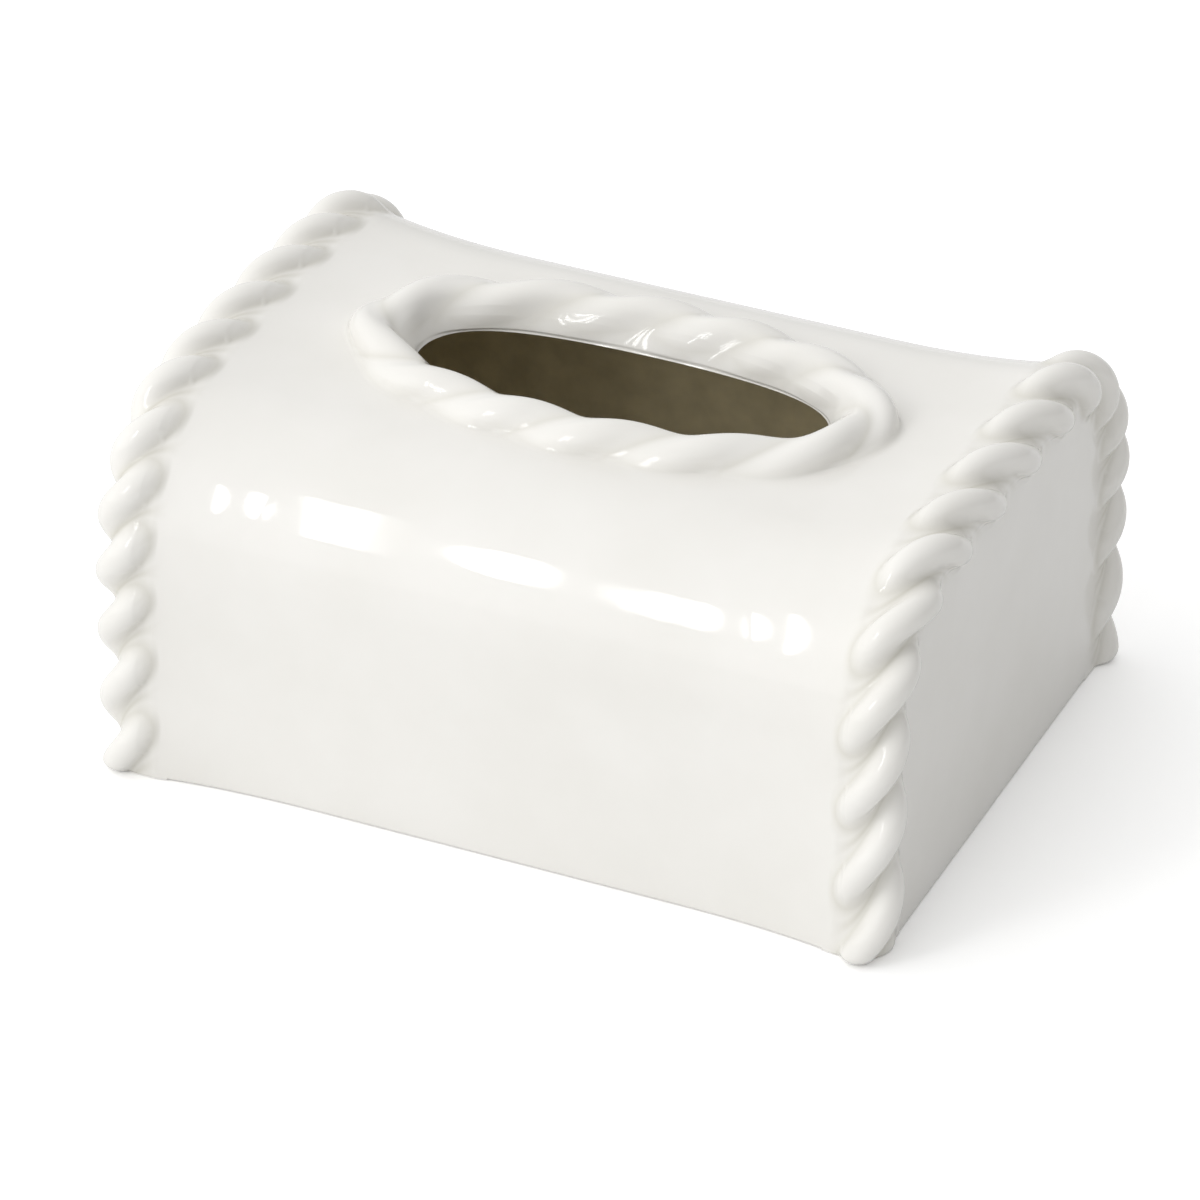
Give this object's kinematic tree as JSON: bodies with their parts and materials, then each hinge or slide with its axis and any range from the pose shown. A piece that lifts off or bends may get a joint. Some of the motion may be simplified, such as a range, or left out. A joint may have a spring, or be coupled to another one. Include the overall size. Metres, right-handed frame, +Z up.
{
  "type": "tissue box cover",
  "caption": "Arched glazed ceramic cover for a flat tissue box, open below, with twisted rope trim over both ends and a rope ring round the oval opening in its roof.",
  "frame": {"origin": "centre of the base outline, on the surface that the cover stands on", "axes": "+X along the length towards the right end, +Y to the back, +Z up"},
  "size_m": [0.2604, 0.1994, 0.1261],
  "materials": {
    "glaze": "gloss"
  },
  "bodies": {
    "root": {"arched_slab": "glaze", "left_end_panel": "glaze", "right_end_panel": "glaze", "left_rope_strand_a": "glaze", "left_rope_strand_b": "glaze", "right_rope_strand_a": "glaze", "right_rope_strand_b": "glaze", "opening_rope_strand_a": "glaze", "opening_rope_strand_b": "glaze", "opening_collar": "glaze"}
  },
  "joints": []
}
